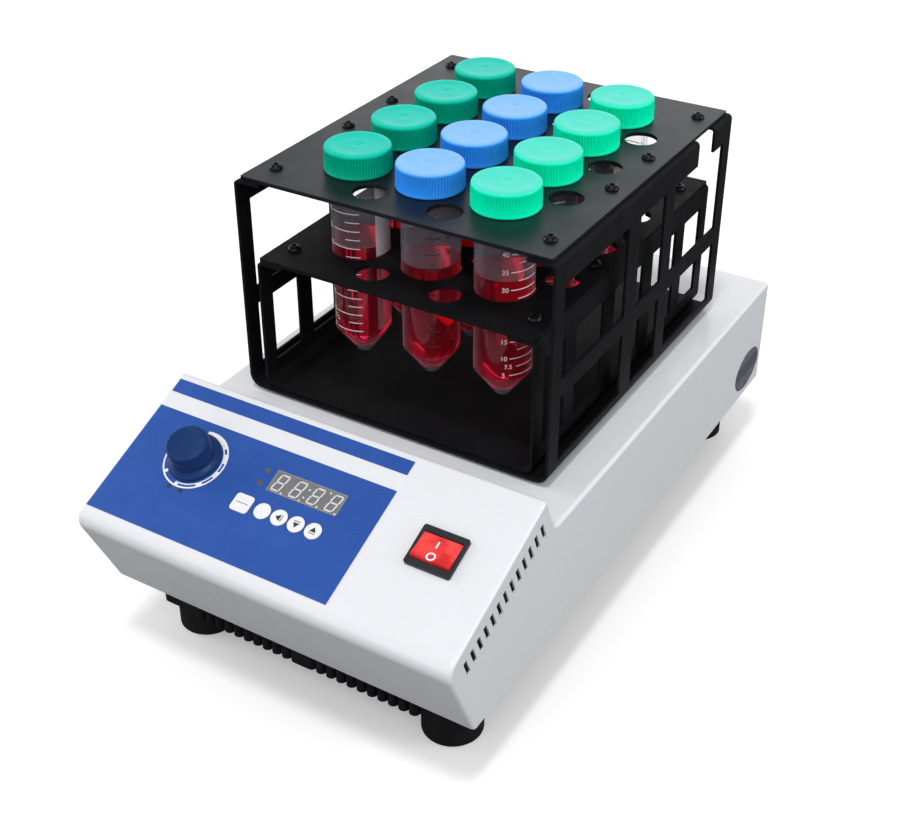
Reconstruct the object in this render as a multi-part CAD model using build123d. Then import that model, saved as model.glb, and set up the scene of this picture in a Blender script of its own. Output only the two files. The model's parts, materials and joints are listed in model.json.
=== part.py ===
"""Orbital mixer for conical tubes: a sloped-front base, a driven orbiting rack and twelve capped tubes.

Millimetres, +Z up, X to the right of someone facing the control panel, Y towards the back.
The origin is on the bench, at the middle of the base's outline.
"""
import math
import os

from build123d import *

os.makedirs("parts", exist_ok=True)

# ---- base -----------------------------------------------------------------
BASE_W = 212.0           # overall width of the white cover
BASE_BACK = 186.4        # y of the back face
COVER_BOTTOM = 40.0      # lower rim of the cover
DECK_Z = 105.8           # top of the deck under the rack
STEP_Y = -92.0           # foot of the slope behind the ridge
RIDGE_Y = -101.3         # sharp ridge at the top of the panel
RIDGE_Z = 127.95
NOSE_Y = -189.2          # sharp nose at the bottom of the panel
NOSE_Z = 91.4
CHIN_Y = -165.4          # bottom of the front face
COVER_T = 3.0
SIDE_R = 2.0             # rounding of the long side edges
NOSE_R = 8.0

PANEL_START = 1.4        # the panel's own origin, this far below the sharp ridge
PANEL_ANGLE = math.degrees(math.atan2(RIDGE_Z - NOSE_Z, RIDGE_Y - NOSE_Y))
PANEL_COS = math.cos(math.radians(PANEL_ANGLE))
PANEL_SIN = math.sin(math.radians(PANEL_ANGLE))
PANEL_Y = RIDGE_Y - PANEL_START * PANEL_COS
PANEL_Z = RIDGE_Z - PANEL_START * PANEL_SIN

PAN_W = 184.0            # black lower pan
PAN_Y0 = -150.8
PAN_Y1 = 182.9
PAN_Z0 = 17.6
PAN_FLANGE_Z = 46.0
PAN_T = 1.5
LOUVRE_R = 2.9
LOUVRE_PITCH = 6.04
LOUVRE_START = 10.5      # centre of the first louvre from the middle
LOUVRES_PER_SIDE = 10

INLET_X = -60.0
INLET_Z = 72.0
INLET_W = 31.0
INLET_H = 23.0
INLET_T = 1.6            # rim of the inlet, let into the back face
INLET_FIT = 0.2
BACK_VENT_X0 = 20.0
BACK_VENT_PITCH = 6.0
BACK_VENT_COUNT = 9
OVAL_Y = 163.7           # oval grille let into the right side
OVAL_Z = 56.0
OVAL_RY = 18.7
OVAL_RZ = 12.7
OVAL_DEPTH = 0.4
FOOT_R = 15.5
FOOT_X = 75.8
FOOT_Y0 = -134.0
FOOT_Y1 = 167.2

# ---- control panel, measured on the slope (x, distance below the ridge) ----
OVERLAY_T = 0.3
OVERLAY_X0 = -103.9
OVERLAY_X1 = 38.3
OVERLAY_S0 = 20.6
OVERLAY_S1 = 84.7
STRIP_S = 7.1            # narrow printed strip under the ridge
STRIP_D = 7.9
KNOB_X = -66.6
KNOB_S = 41.6
KNOB_R = 14.0
KNOB_BODY_R = 10.6
KNOB_H = 13.6
STEM_R = 3.0
DISPLAY_X = -2.2
DISPLAY_S = 37.6
DISPLAY_W = 40.4
DISPLAY_H = 12.2
LED_X = -27.2
LED_S0 = 33.9
LED_S1 = 41.4
LED_R = 1.5
KEY_S = 54.5
KEY_R = 4.3
KEY_X0 = -16.9
KEY_PITCH = 9.73
RUN_KEY_X = -28.9
RUN_KEY_W = 10.2
RUN_KEY_H = 9.6
KEY_GAP = 0.15
SWITCH_X = 72.4
SWITCH_S = 42.0
BEZEL_W = 24.0
BEZEL_H = 21.2
BEZEL_T = 2.0
ROCKER_W = 20.4
ROCKER_R = 7.15
VENT_COUNT = 13
VENT_PITCH = 6.12
VENT_S0 = 7.7
VENT_DEPTH = 13.7        # middle of the side slots, this far under the panel
VENT_W = 2.7
VENT_H = 10.1

# ---- orbiting drive ---------------------------------------------------------
RACK_Y = 34.0            # middle of the rack
ORBIT = 2.5              # eccentric throw
SPINDLE_Y = RACK_Y - ORBIT
IDLER_DX = 50.0
IDLER_DY = 40.0
SHAFT_R = 6.0
PIN_R = 5.0
CHASSIS_Z = 62.5         # top of the drive chassis
CHASSIS_T = 2.5
BEARING_TOP = 80.0
CARRIER_Z0 = 90.0
CARRIER_Z1 = 94.0
CARRIER_W = 150.0
CARRIER_D = 150.0
POST_R = 6.0
POST_X = 60.0
POST_DY = 62.0
POST_TOP = 107.8
RIVET_R = 4.0            # turned-down end of a post, closed over the two rack floors
MOTOR_Y = -64.0
MOTOR_R = 17.5
BIG_PULLEY_R = 34.0
SMALL_PULLEY_R = 10.0
BELT_Z0 = 39.0
BELT_Z1 = 49.0
BELT_T = 1.5
BELT_GAP = 0.3

# ---- rack -------------------------------------------------------------------
SHEET = 1.5
OUTER_W = 178.2
OUTER_D = 204.6
OUTER_TOP = 226.6
OUTER_SILLS = ((117.3, 153.1), (162.9, 212.9))
OUTER_BAYS = ((-92.6, -24.9), (-11.9, 18.4), (29.8, 92.6))
NOTCH_Y0 = 58.0          # opening through the outer frame's folded top
NOTCH_Y1 = 79.0
NOTCH_Z = 208.0
INNER_W = 159.4
INNER_D = 203.6
INNER_TOP = 183.0
INNER_Y = 35.0
INNER_SILL = 121.4
INNER_HEAD = 171.8
INNER_BAYS = ((-92.8, -70.8), (-59.6, -29.2), (-17.0, 17.0), (29.2, 59.6), (70.8, 92.8))
FLANGE = 15.0
PLATE_T = 2.0
PLATE_CORNER = 1.0
TOP_W = 172.6
TOP_D = 201.4
MID_W = 157.2
MID_D = 202.8
PITCH = 41.8             # between tube centres, both ways
TUBE_HOLE_R = 15.5
SMALL_HOLE_R = 8.6
SCREW_DY_IN = 21.0
SCREW_DY_OUT = 84.1
TOP_SCREW_X = 76.5
MID_SCREW_X = 69.2
SCREW_HEAD_R = 3.5
SCREW_HEAD_H = 2.2
SCREW_R = 2.0
SCREW_LENGTH = 7.0
FIT = 0.1                # radial play of a screw or a rivet in sheet

# ---- tubes ------------------------------------------------------------------
TUBE_R = 15.0
TUBE_WALL = 1.1
NECK_R = 14.3
TUBE_TIP = 124.6
CONE_TOP = 140.3
TIP_R = 3.2
TIP_SOLID = 4.4          # the tip is solid up to here
CAP_R = 17.2
CAP_H = 12.6
CAP_SEAT = OUTER_TOP + PLATE_T + 0.1

PANEL = Plane(
    origin=(0, PANEL_Y, PANEL_Z),
    x_dir=(1, 0, 0),
    z_dir=(0, -PANEL_SIN, PANEL_COS),
)


def block(x0, x1, y0, y1, z0, z1):
    """A box given by its limits."""
    middle = ((x0 + x1) / 2, (y0 + y1) / 2, (z0 + z1) / 2)
    return Pos(*middle) * Box(abs(x1 - x0), abs(y1 - y0), abs(z1 - z0))


def rod(x, y, z0, z1, r):
    """An upright cylinder from z0 to z1."""
    return Pos(x, y, (z0 + z1) / 2) * Cylinder(r, z1 - z0)


def slab(x, y, w, d, z0, z1, corner):
    """A plate with rounded upright corners."""
    outline = RectangleRounded(w, d, corner)
    return extrude(Pos(x, y, z0) * outline, amount=z1 - z0)


def spun(points):
    """A solid of revolution about Z from (radius, height) points."""
    outline = make_face(Polyline(*[(r, 0, z) for r, z in points], close=True))
    return revolve(outline, Axis.Z)


def on_panel(shape):
    """Place a shape made in panel coordinates (x, minus distance below the ridge, height)."""
    return PANEL.location * shape


def grow(shape, more):
    """Add every shape of a list to a solid."""
    for item in more:
        shape = shape + item
    return shape


def cut(shape, less):
    """Take every shape of a list out of a solid."""
    for item in less:
        shape = shape - item
    return shape


def round_corner(sketch, y, z, radius):
    """Round the corner of a YZ outline nearest to (y, z)."""
    corner = sketch.vertices().sort_by_distance((0, y, z))[0]
    return fillet([corner], radius)


def save(name, *solids):
    """Write one named piece, or a group of loose identical pieces."""
    flat = []
    for item in solids:
        flat.extend(item.solids())
    shape = flat[0] if len(flat) == 1 else Compound(children=flat)
    shape.label = name
    export_step(shape, f"parts/{name}.step")


def both_sides(half, depth, y0, y1, z0, z1):
    """A pair of blocks, mirrored in X, that reach from x = half inwards by the depth."""
    return [block(side * (half - depth), side * half, y0, y1, z0, z1) for side in (-1, 1)]


def idler_places():
    """Centres of the two idler bearings, in line with their eccentric pins' common phase."""
    return [(-IDLER_DX, SPINDLE_Y - IDLER_DY), (IDLER_DX, SPINDLE_Y + IDLER_DY)]


def post_places():
    """Centres of the four posts that carry the rack on the carrier plate."""
    return [(sx * POST_X, RACK_Y + sy * POST_DY) for sx in (-1, 1) for sy in (-1, 1)]


def foot_places():
    """Centres of the four feet."""
    return [(sx * FOOT_X, y) for sx in (-1, 1) for y in (FOOT_Y0, FOOT_Y1)]


def tube_places():
    """Name, x and y of each of the twelve tubes, front row first."""
    places = []
    for column, letter in enumerate("abc"):
        for row in range(4):
            x = (column - 1) * PITCH
            y = RACK_Y + (row - 1.5) * PITCH
            places.append((f"{letter}{row + 1}", x, y))
    return places


def small_places():
    """Centres of the sixteen holes for narrow tubes, half a pitch off the wide ones."""
    places = []
    for row in range(5):
        for column in range(4):
            if row in (0, 4) and column in (0, 3):
                continue
            places.append(((column - 1.5) * PITCH, RACK_Y + (row - 2) * PITCH))
    return places


def screw_places(screw_x, middle_y):
    """Centres of the eight screws of one plate."""
    rows = [sy * dy for sy in (-1, 1) for dy in (SCREW_DY_IN, SCREW_DY_OUT)]
    return [(sx * screw_x, middle_y + dy) for sx in (-1, 1) for dy in rows]


# ---- base cover ---------------------------------------------------------------
def cover_outline(bottom):
    points = [
        (0, BASE_BACK, bottom),
        (0, BASE_BACK, DECK_Z),
        (0, STEP_Y, DECK_Z),
        (0, RIDGE_Y, RIDGE_Z),
        (0, NOSE_Y, NOSE_Z),
        (0, CHIN_Y + (COVER_BOTTOM - bottom) * 0.463, bottom),
    ]
    return make_face(Polyline(*points, close=True))


def cover_shell():
    """The hollow wedge-fronted box, open below."""
    outline = cover_outline(COVER_BOTTOM)
    outline = round_corner(outline, BASE_BACK, DECK_Z, 3.0)
    outline = round_corner(outline, STEP_Y, DECK_Z, 7.0)
    outline = round_corner(outline, RIDGE_Y, RIDGE_Z, 2.5)
    outline = round_corner(outline, NOSE_Y, NOSE_Z, NOSE_R)
    body = extrude(outline, amount=BASE_W / 2, dir=(1, 0, 0), both=True)
    rims = []
    for edge in body.edges():
        middle = edge.center()
        on_side = abs(abs(middle.X) - BASE_W / 2) < 0.01
        if on_side and middle.Z > COVER_BOTTOM + 0.01:
            rims.append(edge)
    body = fillet(rims, SIDE_R)
    hollow = offset(cover_outline(COVER_BOTTOM - 12), amount=-COVER_T, kind=Kind.INTERSECTION)
    body = body - extrude(hollow, amount=BASE_W / 2 - COVER_T, dir=(1, 0, 0), both=True)
    return body


def panel_cuts():
    """Holes in the panel for the window, the knob's shaft, the lamps and the keys."""
    cuts = []
    cuts.append(Pos(DISPLAY_X, -DISPLAY_S, -2) * Box(DISPLAY_W, DISPLAY_H, 8))
    cuts.append(Pos(KNOB_X, -KNOB_S, -2) * Cylinder(5.1, 8))
    for s in (LED_S0, LED_S1):
        cuts.append(Pos(LED_X, -s, -2) * Cylinder(LED_R, 8))
    for i in range(4):
        cuts.append(Pos(KEY_X0 + i * KEY_PITCH, -KEY_S, -2) * Cylinder(KEY_R + KEY_GAP, 8))
    run_gap = 2 * KEY_GAP
    run_hole = RectangleRounded(RUN_KEY_W + run_gap, RUN_KEY_H + run_gap, 1.8 + KEY_GAP)
    cuts.append(extrude(Pos(RUN_KEY_X, -KEY_S, -6) * run_hole, amount=8))
    return cuts


def side_vents():
    slots = []
    for side in (-1, 1):
        for i in range(VENT_COUNT):
            place = Pos(side * BASE_W / 2, -(VENT_S0 + i * VENT_PITCH), -VENT_DEPTH)
            slots.append(on_panel(place * Box(4 * COVER_T, VENT_W, VENT_H)))
    return slots


def inlet_block(inset, y0, y1):
    """A block on the inlet's middle, smaller all round than its rim by the inset."""
    half_w = INLET_W / 2 - inset
    half_h = INLET_H / 2 - inset
    return block(INLET_X - half_w, INLET_X + half_w, y0, y1, INLET_Z - half_h, INLET_Z + half_h)


def back_cuts():
    cuts = [inlet_block(1.9, BASE_BACK - 2 * COVER_T, BASE_BACK + 1)]
    cuts.append(inlet_block(-INLET_FIT, BASE_BACK - INLET_T, BASE_BACK + 1))
    for i in range(BACK_VENT_COUNT):
        x = BACK_VENT_X0 + i * BACK_VENT_PITCH
        cuts.append(block(x - 1.5, x + 1.5, BASE_BACK - 2 * COVER_T, BASE_BACK + 1, 62, 84))
    return cuts


def oval_recess():
    face = Plane(origin=(BASE_W / 2 - OVAL_DEPTH, OVAL_Y, OVAL_Z), x_dir=(0, 1, 0), z_dir=(1, 0, 0))
    return extrude(face * Ellipse(OVAL_RY, OVAL_RZ), amount=2 * OVAL_DEPTH)


def make_cover():
    body = cover_shell()
    cuts = [on_panel(item) for item in panel_cuts()]
    cuts.append(on_panel(Pos(SWITCH_X, -SWITCH_S, -2) * Box(BEZEL_W - 2.4, BEZEL_H - 2.4, 8)))
    cuts.extend(side_vents())
    cuts.extend(back_cuts())
    for x, y in post_places():
        cuts.append(rod(x, y - ORBIT, DECK_Z - 6, DECK_Z + 1, POST_R + ORBIT + 3))
    cuts.append(oval_recess())
    body = cut(body, cuts)
    rails = []
    rails.extend(both_sides(BASE_W / 2 - COVER_T + 0.5, 8.5, -150, 178, PAN_FLANGE_Z, PAN_FLANGE_Z + 4))
    for x in (-36, 24):
        for s in (26, 64):
            rails.append(on_panel(Pos(x, -s, -5.4) * Cylinder(3, 6)))
    return grow(body, rails)


# ---- lower pan and feet -------------------------------------------------------
def make_pan():
    mid_y = (PAN_Y0 + PAN_Y1) / 2
    depth = PAN_Y1 - PAN_Y0
    body = slab(0, mid_y, PAN_W, depth, PAN_Z0, PAN_FLANGE_Z, 4)
    flange = block(-102.7, 102.7, -163.8, PAN_Y1, PAN_FLANGE_Z - PAN_T, PAN_FLANGE_Z)
    body = body + flange
    ribs = []
    hollows = []
    wide = 2 * (LOUVRE_START - LOUVRE_PITCH / 2 - LOUVRE_R)
    ribs.append(block(-wide / 2, wide / 2, PAN_Y0 - LOUVRE_R, PAN_Y0 + 1, PAN_Z0, 40))
    for side in (-1, 1):
        ribs.append(rod(side * wide / 2, PAN_Y0, PAN_Z0, 40, LOUVRE_R))
        for i in range(LOUVRES_PER_SIDE):
            x = side * (LOUVRE_START + i * LOUVRE_PITCH)
            ribs.append(rod(x, PAN_Y0, PAN_Z0, 40, LOUVRE_R))
            hollows.append(rod(x, PAN_Y0 + 0.4, PAN_Z0 - 1, 38.5, LOUVRE_R - 1.0))
    body = grow(body, ribs)
    body = body - slab(0, mid_y, PAN_W - 2 * PAN_T, depth - 2 * PAN_T, PAN_Z0 + PAN_T, PAN_FLANGE_Z + 1, 2.5)
    for i in range(11):
        x = -50 + i * 10
        hollows.append(slab(x, -60, 4, 44, PAN_Z0 - 1, PAN_Z0 + 3, 1.9))
    for x, y in foot_places():
        hollows.append(rod(x, y, PAN_Z0 - 1, PAN_Z0 + 3, 2.6))
    return cut(body, hollows)


def make_foot(x, y):
    body = spun([(0, 0), (FOOT_R - 1.2, 0), (FOOT_R, 1.2), (FOOT_R, PAN_Z0), (0, PAN_Z0)])
    body = body - rod(0, 0, -1, 9, 6)
    body = body - rod(0, 0, 0, PAN_Z0 + 1, 2.6)
    return Pos(x, y, 0) * body


# ---- things on the panel --------------------------------------------------------
def make_overlay():
    middle = (OVERLAY_X0 + OVERLAY_X1) / 2
    width = OVERLAY_X1 - OVERLAY_X0
    depth = OVERLAY_S1 - OVERLAY_S0
    sheet = Pos(middle, -OVERLAY_S0 - depth / 2, OVERLAY_T / 2) * Box(width, depth, OVERLAY_T)
    strip = Pos(middle, -STRIP_S, OVERLAY_T / 2) * Box(width, STRIP_D, OVERLAY_T)
    sheet = cut(sheet, panel_cuts())
    return [on_panel(sheet), on_panel(strip)]


def make_display():
    lens = Pos(DISPLAY_X, -DISPLAY_S, -1.5 + OVERLAY_T / 2) * Box(DISPLAY_W, DISPLAY_H, 3 + OVERLAY_T)
    return on_panel(lens)


def make_led(s):
    return on_panel(Pos(LED_X, -s, -1.35) * Cylinder(LED_R, 3.3))


def make_round_key(i):
    return on_panel(Pos(KEY_X0 + i * KEY_PITCH, -KEY_S, -0.7) * Cylinder(KEY_R, 2.6))


def make_run_key():
    outline = RectangleRounded(RUN_KEY_W, RUN_KEY_H, 1.8)
    return on_panel(extrude(Pos(RUN_KEY_X, -KEY_S, -2.0) * outline, amount=2.6))


def make_knob():
    body = spun([
        (0, 0.9), (KNOB_R - 0.2, 0.9), (KNOB_R, 1.3), (KNOB_R, 2.2), (KNOB_R - 1.4, 3.2),
        (KNOB_BODY_R + 0.2, 3.4), (KNOB_BODY_R, KNOB_H - 0.7), (KNOB_BODY_R - 0.7, KNOB_H), (0, KNOB_H),
    ])
    body = body - (Pos(0, 0, 1.4) * Cylinder(6.2, 1.4))
    body = body + (Pos(0, 0, -1.0) * Cylinder(STEM_R, 14.0))
    return on_panel(Pos(KNOB_X, -KNOB_S, 0) * body)


def make_potentiometer():
    body = Pos(0, 0, -7.6) * Cylinder(9.5, 9.0)
    body = body + Pos(0, 0, -1.5) * Cylinder(5.0, 3.6)
    body = body + Pos(0, -11, -7.6) * Box(12, 6, 2)
    body = body - Pos(0, 0, -3) * Cylinder(STEM_R + 0.05, 12)
    return on_panel(Pos(KNOB_X, -KNOB_S, 0) * body)


def make_bezel():
    rim = extrude(RectangleRounded(BEZEL_W, BEZEL_H, 1.2), amount=BEZEL_T)
    well = Pos(0, 0, -8) * Box(BEZEL_W - 2.6, BEZEL_H - 2.6, 16)
    body = rim + well
    body = body - Pos(0, 0, -5.5) * Box(ROCKER_W + 0.4, 2 * ROCKER_R + 0.5, 17)
    return on_panel(Pos(SWITCH_X, -SWITCH_S, 0) * body)


def make_rocker():
    """A drum about its pivot with two shallow faces; the upper half is pressed in."""
    drum = Rot(0, 90, 0) * Cylinder(ROCKER_R, ROCKER_W)
    points = [
        (0, -12, 4.6), (0, 0, 2.3), (0, 12, 1.7), (0, 12, 20), (0, -12, 20),
    ]
    above = make_face(Polyline(*points, close=True))
    drum = drum - extrude(above, amount=20, dir=(1, 0, 0), both=True)
    drum = drum - Pos(0, 0, -12) * Box(30, 30, 16)
    return on_panel(Pos(SWITCH_X, -SWITCH_S, 0) * drum)


def make_control_board():
    board = Pos(-6, -45, -9.2) * Box(70, 46, 1.6)
    chips = [
        Pos(-20, -38, -11.5) * Box(14, 10, 3),
        Pos(6, -52, -11) * Box(9, 9, 2),
        Pos(20, -38, -13) * Box(8, 16, 6),
    ]
    board = board - Pos(KNOB_X, -KNOB_S, -9) * Cylinder(12, 10)
    return on_panel(grow(board, chips))


# ---- back inlet -----------------------------------------------------------------
def make_inlet():
    body = inlet_block(0, BASE_BACK - INLET_T, BASE_BACK) + inlet_block(2.1, BASE_BACK - 20, BASE_BACK - 0.5)
    body = body - inlet_block(3.8, BASE_BACK - 16, BASE_BACK + 3)
    pins = []
    for dx, dz in ((-7, -2), (0, 2), (7, -2)):
        x = INLET_X + dx
        z = INLET_Z + dz
        pins.append(block(x - 1, x + 1, BASE_BACK - 17, BASE_BACK - 3, z - 2, z + 2))
    return grow(body, pins)


# ---- drive ------------------------------------------------------------------------
def make_chassis():
    """A folded sheet bridge that carries the motor and the three bearings."""
    z0 = CHASSIS_Z - CHASSIS_T
    floor = PAN_Z0 + PAN_T
    plate = slab(0, 16, 168, 210, z0, CHASSIS_Z, 6)
    parts = []
    parts.extend(both_sides(84, CHASSIS_T, -70, 104, floor, CHASSIS_Z))
    parts.extend(both_sides(84, 14, -70, 104, floor, floor + CHASSIS_T))
    plate = grow(plate, parts)
    holes = [rod(0, MOTOR_Y, z0 - 1, CHASSIS_Z + 1, 7)]
    for x, y in [(0, SPINDLE_Y)] + idler_places():
        holes.append(rod(x, y, z0 - 1, CHASSIS_Z + 1, SHAFT_R + 2))
    for x, length in ((-45, 26), (45, 60)):
        holes.append(slab(x, 0, 26, length, z0 - 1, CHASSIS_Z + 1, 6))
    return cut(plate, holes)


def make_bearing_unit(x, y):
    body = rod(0, 0, CHASSIS_Z, BEARING_TOP, 14)
    body = body + slab(0, 0, 38, 38, CHASSIS_Z, CHASSIS_Z + 4, 5)
    body = body - rod(0, 0, CHASSIS_Z - 1, BEARING_TOP + 1, SHAFT_R + 0.05)
    return Pos(x, y, 0) * body


def make_crank(x, y, bottom):
    """A shaft with a web on top and a pin set off towards the back by the throw."""
    body = rod(x, y, bottom, BEARING_TOP + 1, SHAFT_R)
    body = body + rod(x, y, BEARING_TOP + 1, CARRIER_Z0 - 4, 11)
    return body + rod(x, y + ORBIT, CARRIER_Z0 - 5, CARRIER_Z1 + 4, PIN_R)


def make_big_pulley():
    r = BIG_PULLEY_R
    body = spun([
        (SHAFT_R, BELT_Z0 - 2), (r + 3, BELT_Z0 - 2), (r + 3, BELT_Z0 - 0.5), (r, BELT_Z0 - 0.5),
        (r, BELT_Z1 + 0.5), (r + 3, BELT_Z1 + 0.5), (r + 3, BELT_Z1 + 2), (SHAFT_R, BELT_Z1 + 2),
    ])
    body = body + spun([(SHAFT_R, 46), (12, 46), (12, 57), (SHAFT_R, 57)])
    sector = rod(0, 0, BELT_Z1 + 1, 57, 30) - block(-40, 40, -8, 40, 40, 60)
    sector = sector - rod(0, 0, 40, 60, 13)
    body = body + sector
    for i in range(5):
        angle = math.radians(18 + 72 * i)
        x = 21.5 * math.cos(angle)
        y = 21.5 * math.sin(angle)
        if y > 0:
            body = body - rod(x, y, BELT_Z0 - 3, BELT_Z1 + 3, 6)
    return Pos(0, SPINDLE_Y, 0) * body


def make_motor_pulley():
    r = SMALL_PULLEY_R
    body = spun([
        (0, BELT_Z0 - 2), (r + 2, BELT_Z0 - 2), (r + 2, BELT_Z0 - 0.5), (r, BELT_Z0 - 0.5),
        (r, BELT_Z1 + 0.5), (r + 2, BELT_Z1 + 0.5), (r + 2, BELT_Z1 + 2), (2.5, BELT_Z1 + 2),
        (2.5, 74), (0, 74),
    ])
    return Pos(0, MOTOR_Y, 0) * body


def make_motor():
    body = spun([
        (2.55, CHASSIS_Z), (MOTOR_R, CHASSIS_Z), (MOTOR_R, 96), (MOTOR_R - 2, 98),
        (0, 98), (0, 75), (2.55, 75),
    ])
    return Pos(0, MOTOR_Y, 0) * body


def belt_loop(extra):
    circles = [
        Pos(0, SPINDLE_Y, 0) * Circle(BIG_PULLEY_R + BELT_GAP + extra),
        Pos(0, MOTOR_Y, 0) * Circle(SMALL_PULLEY_R + BELT_GAP + extra),
    ]
    edges = []
    for circle in circles:
        edges.extend(circle.edges())
    return make_hull(edges)


def make_belt():
    outer = extrude(Pos(0, 0, BELT_Z0) * belt_loop(BELT_T), amount=BELT_Z1 - BELT_Z0)
    inner = extrude(Pos(0, 0, BELT_Z0 - 1) * belt_loop(0), amount=BELT_Z1 - BELT_Z0 + 2)
    return outer - inner


def make_power_supply():
    floor = PAN_Z0 + PAN_T
    board = block(-70, 60, 132, 176, floor + 6, floor + 7.6)
    parts = [
        block(-64, -34, 138, 168, floor + 7.6, floor + 33),
        rod(-18, 150, floor + 7.6, floor + 32, 8),
        rod(2, 150, floor + 7.6, floor + 28, 6),
        block(14, 34, 138, 170, floor + 7.6, floor + 22),
        block(40, 54, 138, 144, floor + 7.6, floor + 30),
    ]
    for x in (-66, 56):
        for y in (135, 173):
            parts.append(rod(x, y, floor, floor + 6.2, 2.5))
    return grow(board, parts)


def make_carrier():
    plate = slab(0, RACK_Y, CARRIER_W, CARRIER_D, CARRIER_Z0, CARRIER_Z1, 10)
    holes = [rod(0, RACK_Y, CARRIER_Z0 - 1, CARRIER_Z1 + 1, 11)]
    for x, y in idler_places():
        holes.append(rod(x, y + ORBIT, CARRIER_Z0 - 1, CARRIER_Z1 + 1, 11))
    for x, y in post_places():
        holes.append(rod(x, y, CARRIER_Z0 - 1, CARRIER_Z1 + 1, 2.6))
    return cut(plate, holes)


def make_carrier_bearing(x, y):
    return Pos(x, y, 0) * spun([
        (PIN_R + 0.05, CARRIER_Z0 - 3.5), (10.98, CARRIER_Z0 - 3.5), (10.98, CARRIER_Z1 + 2),
        (PIN_R + 0.05, CARRIER_Z1 + 2),
    ])


def make_post(x, y):
    """A post with a turned-down end, riveted flush through both rack floors."""
    body = rod(x, y, CARRIER_Z1, POST_TOP, POST_R)
    return body + rod(x, y, POST_TOP - 1, POST_TOP + 2 * SHEET, RIVET_R)


# ---- rack sheet work ----------------------------------------------------------------
def sheet_u(width, y, z0, z1, depth, bottom_r, top_r):
    """A folded sheet with a floor, two walls and inward top flanges, extruded along Y."""
    height = z1 - z0
    outer = Rectangle(width, height)
    inner = Rectangle(width - 2 * SHEET, height - 2 * SHEET)
    low = outer.vertices().sort_by(Axis.Y)[:2]
    outer = fillet(low, bottom_r)
    high = outer.vertices().sort_by(Axis.Y)[-2:]
    outer = fillet(high, top_r)
    low = inner.vertices().sort_by(Axis.Y)[:2]
    inner = fillet(low, bottom_r - SHEET)
    high = inner.vertices().sort_by(Axis.Y)[-2:]
    inner = fillet(high, top_r - SHEET)
    profile = outer - inner
    opening = Pos(0, height / 2) * Rectangle(width - 2 * FLANGE, 4 * SHEET)
    profile = profile - opening
    back = Plane(origin=(0, y + depth / 2, (z0 + z1) / 2), x_dir=(1, 0, 0), z_dir=(0, -1, 0))
    return extrude(back * profile, amount=depth, dir=(0, -1, 0))


def make_outer_frame():
    body = sheet_u(OUTER_W, RACK_Y, POST_TOP, OUTER_TOP, OUTER_D, 7.0, 2.6)
    cuts = []
    half = OUTER_W / 2 + 1
    for low, high in OUTER_SILLS:
        for front, back in OUTER_BAYS:
            cuts.extend(both_sides(half, 6, RACK_Y + front, RACK_Y + back, low, high))
    cuts.extend(both_sides(half, FLANGE + 4, RACK_Y + NOTCH_Y0, RACK_Y + NOTCH_Y1, NOTCH_Z, OUTER_TOP + 1))
    for x, y in screw_places(TOP_SCREW_X, RACK_Y):
        cuts.append(rod(x, y, OUTER_TOP - 3, OUTER_TOP + 1, SCREW_R + FIT))
    for x, y in post_places():
        cuts.append(rod(x, y, POST_TOP - 1, POST_TOP + 3, RIVET_R + FIT))
    return cut(body, cuts)


def make_inner_frame():
    z0 = POST_TOP + SHEET
    body = sheet_u(INNER_W, INNER_Y, z0, INNER_TOP, INNER_D, 6.0, 2.6)
    cuts = []
    for front, back in INNER_BAYS:
        cuts.extend(both_sides(INNER_W / 2 + 1, 6, INNER_Y + front, INNER_Y + back, INNER_SILL, INNER_HEAD))
    for x, y in screw_places(MID_SCREW_X, INNER_Y):
        cuts.append(rod(x, y, INNER_TOP - 3, INNER_TOP + 1, SCREW_R + FIT))
    for x, y in small_places():
        cuts.append(rod(x, y, INNER_TOP - 3, INNER_TOP + 1, SMALL_HOLE_R + 0.6))
    for x, y in post_places():
        cuts.append(rod(x, y, z0 - 1, z0 + 3, RIVET_R + FIT))
    return cut(body, cuts)


def make_plate(width, depth, middle_y, z0, screw_x):
    plate = slab(0, middle_y, width, depth, z0, z0 + PLATE_T, PLATE_CORNER)
    holes = []
    for _, x, y in tube_places():
        holes.append(rod(x, y, z0 - 1, z0 + PLATE_T + 1, TUBE_HOLE_R))
    for x, y in small_places():
        holes.append(rod(x, y, z0 - 1, z0 + PLATE_T + 1, SMALL_HOLE_R))
    for x, y in screw_places(screw_x, middle_y):
        holes.append(rod(x, y, z0 - 1, z0 + PLATE_T + 1, SCREW_R + FIT))
    return cut(plate, holes)


def make_screw(x, y, seat):
    head = SCREW_HEAD_H
    body = spun([
        (0, -SCREW_LENGTH), (SCREW_R, -SCREW_LENGTH), (SCREW_R, 0), (SCREW_HEAD_R, 0),
        (SCREW_HEAD_R, head * 0.5), (SCREW_HEAD_R * 0.7, head), (0, head),
    ])
    return Pos(x, y, seat) * body


def all_screws():
    screws = []
    for x, y in screw_places(TOP_SCREW_X, RACK_Y):
        screws.append(make_screw(x, y, OUTER_TOP + PLATE_T))
    for x, y in screw_places(MID_SCREW_X, INNER_Y):
        screws.append(make_screw(x, y, INNER_TOP + PLATE_T))
    return screws


# ---- tubes ----------------------------------------------------------------------------
def make_tube():
    rim = CAP_SEAT + CAP_H - 2.0
    wall = TUBE_WALL
    return spun([
        (0, TUBE_TIP), (TIP_R, TUBE_TIP), (TIP_R + 0.8, TUBE_TIP + 0.8), (TUBE_R, CONE_TOP),
        (TUBE_R, CAP_SEAT - 0.3), (NECK_R, CAP_SEAT - 0.3), (NECK_R, rim), (NECK_R - wall, rim),
        (NECK_R - wall, CONE_TOP + 0.6), (TIP_R + 2.2, TUBE_TIP + TIP_SOLID), (0, TUBE_TIP + TIP_SOLID),
    ])


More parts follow.
